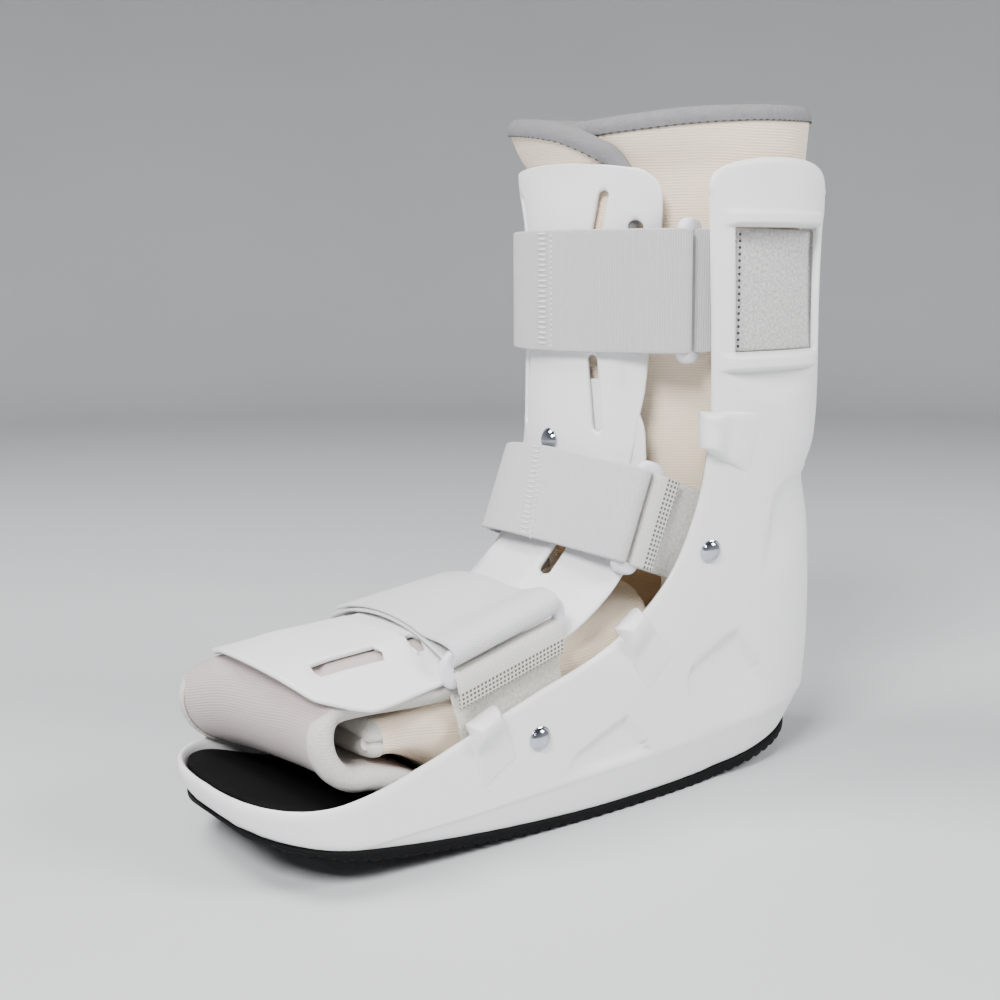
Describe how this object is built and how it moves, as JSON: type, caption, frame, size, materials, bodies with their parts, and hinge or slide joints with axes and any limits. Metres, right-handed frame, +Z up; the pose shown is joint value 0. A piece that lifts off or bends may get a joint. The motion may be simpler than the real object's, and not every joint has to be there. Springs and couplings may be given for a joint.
{
  "type": "ankle brace, short walker boot",
  "caption": "Short walker boot: moulded shell with uprights and rocker tread, padded wrap liner, bent front plates and webbing straps through rings, holding an injured ankle still.",
  "frame": {"origin": "on the ground under the middle of the boot's length and width", "axes": "+Z up, -Y towards the toe, +X towards the side with the strap rings"},
  "size_m": [0.135, 0.2937, 0.2851],
  "materials": {
    "shell": "satin moulded",
    "plates": "satin moulded",
    "rings": "satin moulded",
    "webbing": "ribbed hook and loop weave",
    "liner": "knitted, padded",
    "tread": "moulded ribs",
    "insole": "soft foam",
    "rivet": "polished"
  },
  "bodies": {
    "root": {"shell": "shell", "outsole": "tread", "insole": "insole", "liner_leg": "liner", "liner_foot": "liner", "toe_flap": "liner", "shin_plate": "plates", "instep_plate": "plates", "calf_strap": "webbing", "calf_ring": "rings", "ankle_strap": "webbing", "ankle_anchor": "webbing", "ankle_ring": "rings", "foot_strap": "webbing", "foot_anchor": "webbing", "foot_ring": "rings", "plate_rivet": "rivet", "rivet_ankle_near": "rivet", "rivet_ankle_far": "rivet", "rivet_foot_near": "rivet", "rivet_foot_far": "rivet"}
  },
  "joints": []
}
